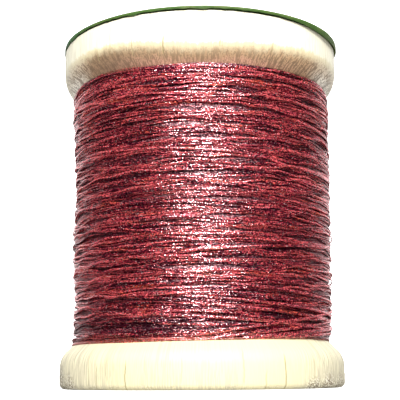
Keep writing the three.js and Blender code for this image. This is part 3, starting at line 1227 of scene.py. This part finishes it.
class SPOOL_OT_wind_turns(bpy.types.Operator):
    """Winds the layers of turns, which clump, part, cross and ride over each other."""

    bl_idname = "spool.wind_turns"
    bl_label = "Wind the turns"

    def execute(self, context):
        settings = context.scene.spool_thread
        material = thread_material("Shiny red thread", settings, 0.0, 0.25)
        for layer in LAYERS:
            wind_layer(layer, settings, material)
        return {"FINISHED"}


class SPOOL_OT_lay_last_strands(bpy.types.Operator):
    """Lays the last few strands slantwise over the turns; between them they run under the surface."""

    bl_idname = "spool.lay_last_strands"
    bl_label = "Lay the last strands"

    def execute(self, context):
        settings = context.scene.spool_thread
        obj, points, angles = strand_coil("last_strands", len(LAST_STRANDS) + 1, STRAND["size"], settings)
        facing = angles - FULL_TURN / 2
        knot_angles, knot_heights, knot_lifts = strand_knots()
        heights = np.interp(angles, knot_angles, knot_heights)
        lift = np.interp(angles, knot_angles, knot_lifts)
        rng = np.random.default_rng(STRAND["seed"])
        radii = form_radius(heights, facing) - STRAND["sink"] + clump(heights, facing)[1] + lift
        radii += wander(rng, len(points), STRAND_RIPPLE)
        material = thread_material("Last strands", settings, 0.05, 0.3)
        finish_strands(obj, points, facing, heights, radii, rng, 0.56, 0.15, material)
        return {"FINISHED"}


class SPOOL_OT_lay_edge_turns(bpy.types.Operator):
    """Lays the lowest turns, which rest on the shoulder of the lower flange."""

    bl_idname = "spool.lay_edge_turns"
    bl_label = "Lay the lowest turns"

    def execute(self, context):
        settings = context.scene.spool_thread
        obj, points, angles = strand_coil("edge_turns", EDGE_TURNS["count"], 1.0, settings)
        rng = np.random.default_rng(EDGE_TURNS["seed"])
        heights = read_between(EDGE_HEIGHTS, "angle", "height", np.degrees(within_half_turn(angles)))
        heights += EDGE_TURNS["apart"] * angles / FULL_TURN
        heights += wander(rng, len(points), EDGE_TURNS["wander"])
        resting = inner_face_radius(BOTTOM_FLANGE, heights) + settings.depth / MM / 2
        radii = np.minimum(resting, form_radius(heights, angles) + EDGE_TURNS["over"])
        material = thread_material("Lowest turns", settings, 0.05, 0.4, edge=0.3)
        finish_strands(obj, points, angles, heights, radii, rng, 0.15, 0.2, material)
        return {"FINISHED"}


class SPOOL_OT_cut_label(bpy.types.Operator):
    """Cuts the round paper label, with a torn rim on one side and a drooping rim on the other."""

    bl_idname = "spool.cut_label"
    bl_label = "Cut the end label"

    def execute(self, context):
        settings = context.scene.spool_label
        low, high = SPOOL_HEIGHT + PAPER["under"], SPOOL_HEIGHT + LABEL_THICKNESS
        lip, edge, reaching = PAPER["lip"], PAPER["edge"], PAPER["reaching"]
        rings = np.linspace(LABEL_HOLE_RADIUS, LABEL_RADIUS - lip, PAPER["rings"]).tolist()
        profile = [(radius, low) for radius in rings]
        profile += [(LABEL_RADIUS - lip + 0.01, low), (LABEL_RADIUS - 0.01, low), (LABEL_RADIUS, low + 0.02)]
        profile += arc_points(LABEL_RADIUS - edge, high - edge, edge, 0, QUARTER_TURN, 3)
        profile += [(radius, high) for radius in reversed(rings[:-1])]
        obj = turned_piece("end_label_paper", profile, PAPER["steps"])

        points = read_points(obj)
        angles = np.arctan2(points[:, 1], points[:, 0])
        radius = np.hypot(points[:, 0], points[:, 1])
        degrees, columns = np.degrees(angles), ("fold", "ragged", "reach")
        fold, ragged, reach = (read_between(LABEL_RIM, "angle", column, degrees) for column in columns)
        rng = np.random.default_rng(PAPER["seed"])
        phases = rng.uniform(0, FULL_TURN, len(TATTER_WAVES))
        sizes = rng.normal(size=len(TATTER_WAVES)) / np.sqrt(TATTER_WAVES)
        tatter = (np.cos(TATTER_WAVES * angles[:, None] + phases) * sizes).sum(axis=1)
        in_lip = (radius / MM > LABEL_RADIUS - lip + 0.005) & (points[:, 2] / MM < low + 0.03)
        points[:, 2] -= in_lip * np.maximum(fold + 1.4 * ragged * tatter, 0) * MM
        near_rim = np.clip((radius / MM - (LABEL_RADIUS - reaching)) / reaching, 0, 1)
        radius += (reach + 0.006 * tatter) * near_rim * MM
        points[:, 0] = radius * np.cos(angles) + settings.offset
        points[:, 1] = radius * np.sin(angles)
        write_points(obj, points)
        finish_piece(obj, label_material(settings), "label", "end_label")
        return {"FINISHED"}


class SPOOL_OT_set_stage(bpy.types.Operator):
    """Sets the pale floor, the soft lights and the camera."""

    bl_idname = "spool.set_stage"
    bl_label = "Set the stage"

    def execute(self, context):
        settings = context.scene.spool_stage
        start_afresh()
        bpy.ops.mesh.primitive_circle_add(vertices=96, radius=2.0, fill_type="NGON", location=(0, 0, 0))
        floor = name_piece(context.object, "studio_floor")
        floor.data.materials.append(floor_material(settings.floor))
        context.scene.world = surroundings(front=0.0, back=2.4)
        context.scene.view_settings.view_transform = "Standard"
        for light in LIGHTS:
            soft_light(**light)
        place_camera(settings)
        return {"FINISHED"}


class SPOOL_PT_panel(bpy.types.Panel):
    """Lists the steps and settings of the spool."""

    bl_idname = "SPOOL_PT_panel"
    bl_label = "Spool of thread"
    bl_space_type = "VIEW_3D"
    bl_region_type = "UI"
    bl_category = "Spool"

    def draw(self, context):
        for operator in OPERATORS:
            self.layout.operator(operator.bl_idname)
        for name in SETTINGS:
            group = getattr(context.scene, name)
            box = self.layout.box()
            for label in group.__annotations__:
                box.prop(group, label)


SETTINGS = {
    "spool_wood": SpoolWoodSettings,
    "spool_thread": SpoolThreadSettings,
    "spool_label": SpoolLabelSettings,
    "spool_stage": SpoolStageSettings,
}
OPERATORS = (
    SPOOL_OT_set_stage,
    SPOOL_OT_turn_wood,
    SPOOL_OT_wind_under_layer,
    SPOOL_OT_wind_turns,
    SPOOL_OT_lay_last_strands,
    SPOOL_OT_lay_edge_turns,
    SPOOL_OT_cut_label,
)


def register():
    for group in SETTINGS.values():
        bpy.utils.register_class(group)
    for operator in OPERATORS:
        bpy.utils.register_class(operator)
    bpy.utils.register_class(SPOOL_PT_panel)
    for name, group in SETTINGS.items():
        setattr(bpy.types.Scene, name, bpy.props.PointerProperty(type=group))


def unregister():
    for name in SETTINGS:
        delattr(bpy.types.Scene, name)
    bpy.utils.unregister_class(SPOOL_PT_panel)
    for operator in reversed(OPERATORS):
        bpy.utils.unregister_class(operator)
    for group in reversed(SETTINGS.values()):
        bpy.utils.unregister_class(group)


def main():
    register()
    for operator in OPERATORS:
        family, step = operator.bl_idname.split(".")
        getattr(getattr(bpy.ops, family), step)()


if __name__ == "__main__":
    main()
